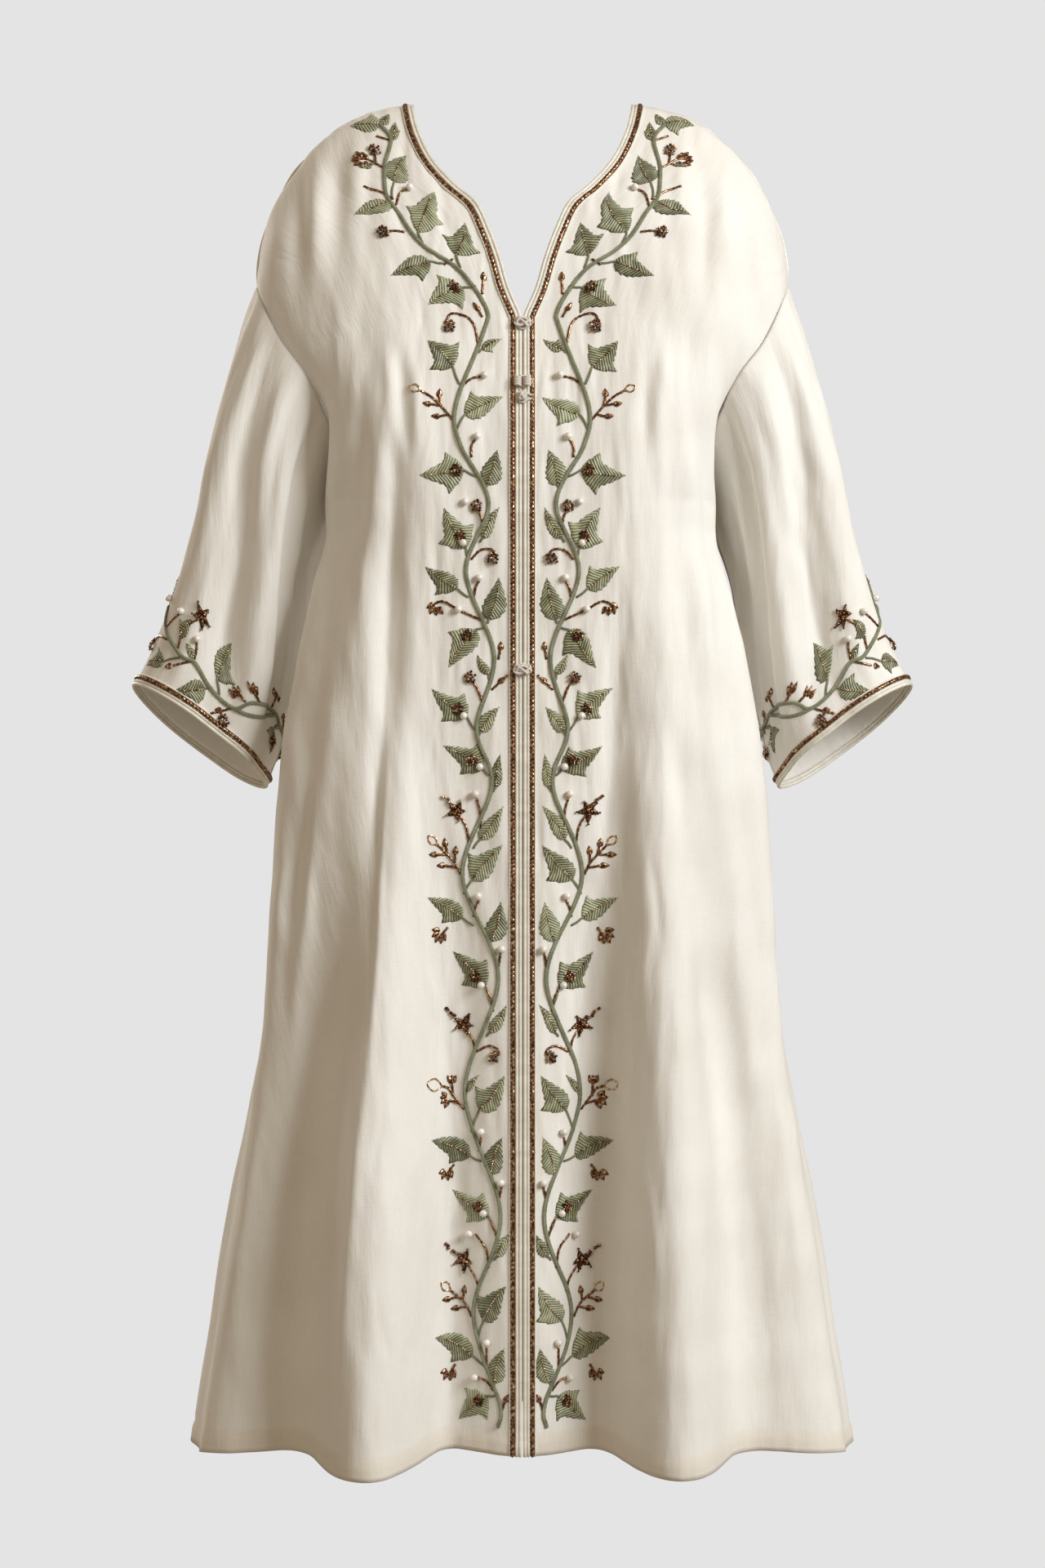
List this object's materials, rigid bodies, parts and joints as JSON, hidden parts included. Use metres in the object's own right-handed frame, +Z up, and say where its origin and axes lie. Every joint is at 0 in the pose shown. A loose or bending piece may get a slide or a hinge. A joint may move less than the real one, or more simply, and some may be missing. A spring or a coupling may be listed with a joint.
{
  "type": "kaftan dress",
  "caption": "Long loose kaftan dress filled out as worn, open at neck, cuffs and hem, with edge-to-edge corded fronts, knot closures and wide sleeves.",
  "frame": {"origin": "midway between the two high shoulder points, where the wearer's shoulders hold the dress", "axes": "+Z up towards the neck, -Y towards the front, +X towards the wearer's left"},
  "size_m": [0.7206, 0.3179, 1.2329],
  "materials": {
    "cloth": "plain-woven cream cloth with a soft sheen",
    "piping": "cream satin-covered double piping",
    "metal_braid": "bronze metal-thread braid with gold glints",
    "knot_cord": "pale silk cord, knotted"
  },
  "bodies": {
    "root": {"front_right": "cloth", "front_left": "cloth", "back": "cloth", "sleeve_right": "cloth", "sleeve_left": "cloth", "edging_right": "piping", "edging_left": "piping", "edging_back_neck": "piping", "cuff_edging_right": "piping", "cuff_edging_left": "piping", "braid_right": "metal_braid", "braid_left": "metal_braid", "braid_back_neck": "metal_braid", "cuff_braid_right": "metal_braid", "cuff_braid_left": "metal_braid", "button_top": "knot_cord", "loop_top": "knot_cord", "button_second": "knot_cord", "loop_second": "knot_cord", "button_third": "knot_cord", "loop_third": "knot_cord", "button_low": "knot_cord", "loop_low": "knot_cord"}
  },
  "joints": []
}
